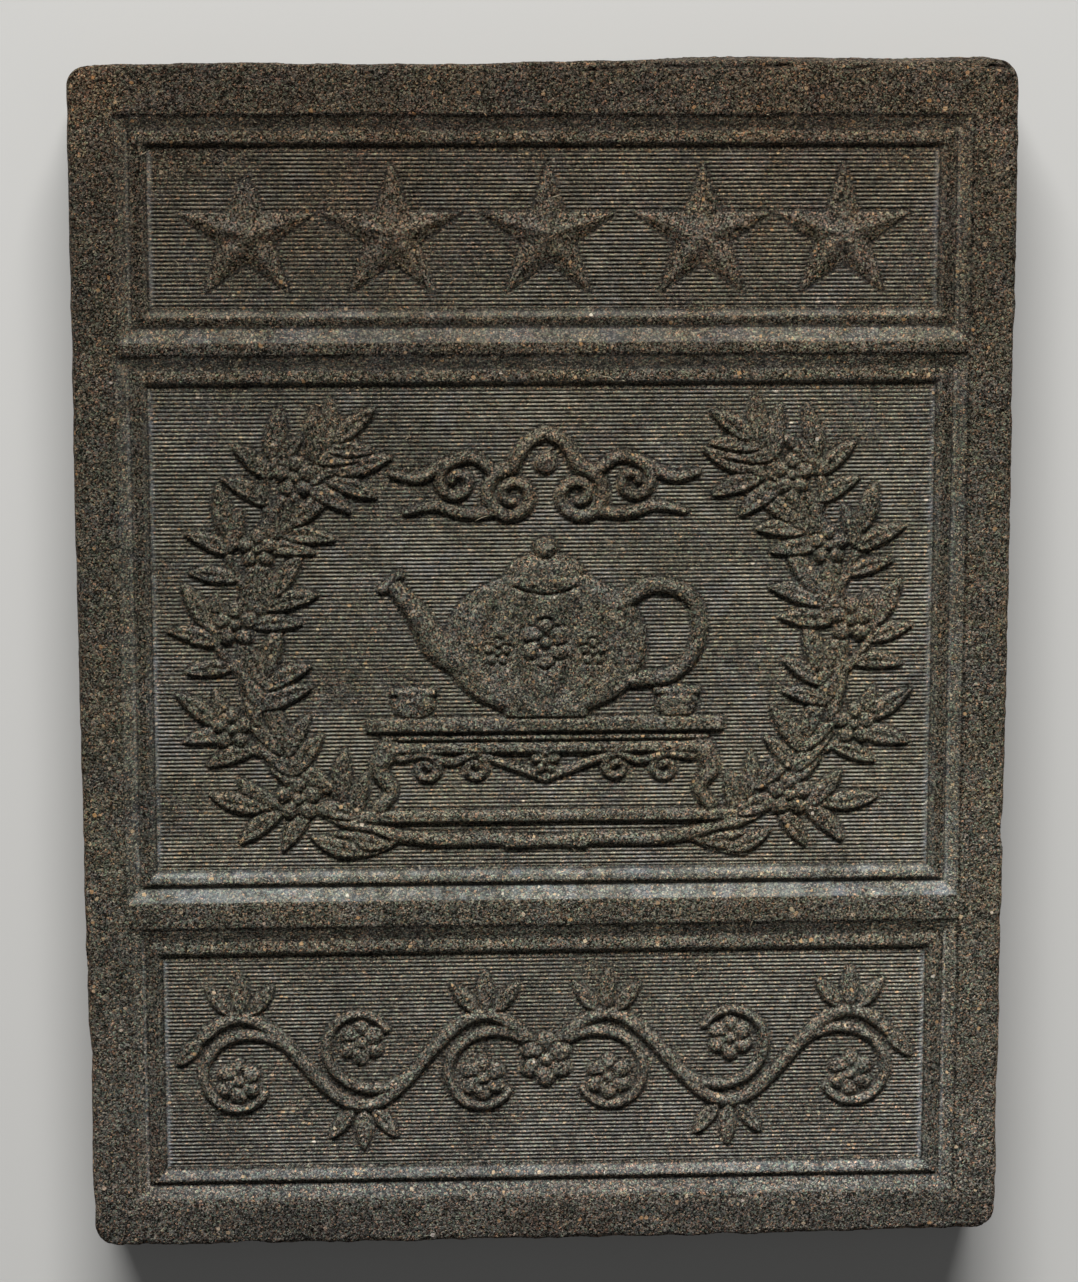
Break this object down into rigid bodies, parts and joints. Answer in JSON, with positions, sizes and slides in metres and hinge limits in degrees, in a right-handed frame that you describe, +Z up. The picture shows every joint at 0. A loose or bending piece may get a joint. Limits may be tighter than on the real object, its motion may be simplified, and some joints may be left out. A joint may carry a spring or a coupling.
{
  "type": "tea brick",
  "caption": "Flat rectangular brick of dark pressed tea with rounded corners and a moulded face: raised stars, a tea pot between leafy branches, and a leaf scroll in sunk panels.",
  "frame": {"origin": "middle of the flat underside", "axes": "+Z up out of the moulded face, +Y towards the panel of stars (the face's own top), +X to the right when the face is read from above"},
  "size_m": [0.187, 0.242, 0.023],
  "materials": {
    "pressed_tea": "matte"
  },
  "bodies": {
    "root": {"tea_brick": "pressed_tea"}
  },
  "joints": []
}
